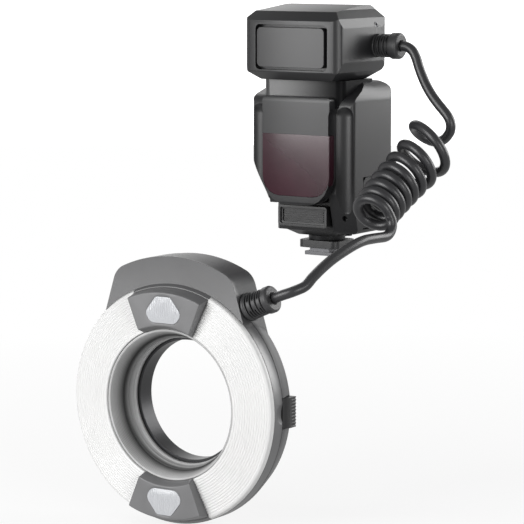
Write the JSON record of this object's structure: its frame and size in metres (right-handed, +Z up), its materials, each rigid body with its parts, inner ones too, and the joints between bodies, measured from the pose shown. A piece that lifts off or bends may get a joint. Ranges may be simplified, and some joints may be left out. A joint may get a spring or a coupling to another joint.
{
  "type": "macro ring flash",
  "caption": "Ring-shaped flash head with milky diffusers and an open bore, joined by a curly cord to a control unit with a hot-shoe foot.",
  "frame": {"origin": "centre of the underside of the hot-shoe foot", "axes": "+Z up, the diffusers and the unit's window face -Y, +X is the side with the cord and the battery door"},
  "size_m": [0.1535, 0.1814, 0.264],
  "materials": {
    "steel": "brushed",
    "dark_steel": "black oxide",
    "dark_metal": "matt black anodised",
    "contact_metal": "plated",
    "shell_plastic": "fine texture",
    "black_plastic": "matt",
    "ring_plastic": "fine texture",
    "red_window": "polished",
    "cell_metal": "satin",
    "board": "solder mask",
    "display": "grey-green display",
    "clear_window": "clear",
    "button_plastic": "satin",
    "red_lamp": "tinted",
    "capacitor": "sleeve",
    "rubber": "moulded",
    "diffuser": "milky",
    "reflector": "bright",
    "tube_glass": "clear",
    "lamp_lens": "frosted",
    "lamp_core": "phosphor",
    "cord": "satin"
  },
  "bodies": {
    "flash_unit": {"hot_shoe_foot": "steel", "contact_carrier": "black_plastic", "foot_base": "black_plastic", "foot_spindle": "black_plastic", "body_front_shell": "shell_plastic", "body_rear_shell": "shell_plastic", "body_screws": "dark_steel", "af_window": "red_window", "af_emitter": "black_plastic", "sensor_cover": "black_plastic", "battery_tray": "black_plastic", "aa_cells": "cell_metal", "battery_contacts": "contact_metal", "door_hinge_pin": "steel", "main_board": "board", "lcd_module": "display", "lcd_window": "clear_window", "dial_retainer": "dark_steel", "ready_lamp": "red_lamp", "neck": "shell_plastic", "head_front_shell": "shell_plastic", "head_rear_shell": "shell_plastic", "head_front_panel": "shell_plastic", "head_screws": "dark_steel", "main_capacitor": "capacitor", "head_cord_boot": "rubber", "ring_front_housing": "ring_plastic", "ring_rear_housing": "ring_plastic", "diffuser_left": "diffuser", "diffuser_right": "diffuser", "reflectors": "reflector", "flash_tubes": "tube_glass", "lamp_block_top": "ring_plastic", "lamp_block_bottom": "ring_plastic", "lamp_lenses": "lamp_lens", "lamp_leds": "lamp_core", "inner_baffle": "black_plastic", "ring_board": "board", "ring_screws": "dark_steel", "ring_cord_boot": "rubber", "cord_upper": "cord", "cord_coil": "cord", "cord_lower": "cord"},
    "battery_door": {"battery_door": "shell_plastic", "door_contacts": "contact_metal"},
    "lock_lever": {"lock_lever": "shell_plastic"},
    "lock_pin": {"lock_pin": "steel"},
    "contact_pins": {"contact_pins": "contact_metal"},
    "control_dial": {"control_dial": "black_plastic"},
    "set_button": {"set_button": "button_plastic"},
    "power_switch": {"power_switch": "button_plastic"},
    "test_button": {"test_button": "button_plastic"},
    "release_button_left": {"release_button_left": "black_plastic"},
    "release_button_right": {"release_button_right": "black_plastic"},
    "adapter_ring": {"adapter_ring": "dark_metal"},
    "function_button_1": {"function_button_1": "button_plastic"},
    "function_button_2": {"function_button_2": "button_plastic"},
    "function_button_3": {"function_button_3": "button_plastic"},
    "function_button_4": {"function_button_4": "button_plastic"}
  },
  "joints": [
    {"name": "battery_door_hinge", "type": "hinge", "parent": "flash_unit", "child": "battery_door", "pos_m": [0.0319, -0.0015, 0.0187], "axis": [0, 1, 0], "range_deg": [0, 90]},
    {"name": "lock_lever_turn", "type": "hinge", "parent": "flash_unit", "child": "lock_lever", "pos_m": [0, 0, 0.0099], "axis": [0, 0, 1], "range_deg": [0, 60]},
    {"name": "lock_pin_slide", "type": "slide", "parent": "flash_unit", "child": "lock_pin", "axis": [0, 0, -1], "range_m": [0, 0.0015]},
    {"name": "contact_pins_slide", "type": "slide", "parent": "flash_unit", "child": "contact_pins", "axis": [0, 0, 1], "range_m": [0, 0.0007], "stiffness_N_per_m": 800},
    {"name": "control_dial_turn", "type": "hinge", "parent": "flash_unit", "child": "control_dial", "pos_m": [0, 0.0193, 0.0315], "axis": [0, 1, 0], "continuous": true},
    {"name": "set_button_press", "type": "slide", "parent": "flash_unit", "child": "set_button", "axis": [0, -1, 0], "range_m": [0, 0.0008], "stiffness_N_per_m": 400},
    {"name": "power_switch_slide", "type": "slide", "parent": "flash_unit", "child": "power_switch", "axis": [0, 0, 1], "range_m": [0, 0.004]},
    {"name": "test_button_press", "type": "slide", "parent": "flash_unit", "child": "test_button", "axis": [0, -1, 0], "range_m": [0, 0.0008], "stiffness_N_per_m": 400},
    {"name": "function_button_1_press", "type": "slide", "parent": "flash_unit", "child": "function_button_1", "axis": [0, -1, 0], "range_m": [0, 0.0008], "stiffness_N_per_m": 400},
    {"name": "function_button_2_press", "type": "slide", "parent": "flash_unit", "child": "function_button_2", "axis": [0, -1, 0], "range_m": [0, 0.0008], "stiffness_N_per_m": 400},
    {"name": "function_button_3_press", "type": "slide", "parent": "flash_unit", "child": "function_button_3", "axis": [0, -1, 0], "range_m": [0, 0.0008], "stiffness_N_per_m": 400},
    {"name": "function_button_4_press", "type": "slide", "parent": "flash_unit", "child": "function_button_4", "axis": [0, -1, 0], "range_m": [0, 0.0008], "stiffness_N_per_m": 400},
    {"name": "release_button_left_press", "type": "slide", "parent": "flash_unit", "child": "release_button_left", "axis": [1, 0, 0], "range_m": [0, 0.0016], "stiffness_N_per_m": 1200},
    {"name": "release_button_right_press", "type": "slide", "parent": "flash_unit", "child": "release_button_right", "axis": [-1, 0, 0], "range_m": [0, 0.0016], "stiffness_N_per_m": 1200},
    {"name": "adapter_ring_turn", "type": "hinge", "parent": "flash_unit", "child": "adapter_ring", "pos_m": [0, -0.13, -0.0624], "axis": [0, 1, 0], "continuous": true}
  ],
  "couplings": [
    {"joint": "lock_pin_slide", "follows": "lock_lever_turn", "m_per_rad": 0.0014324}
  ]
}
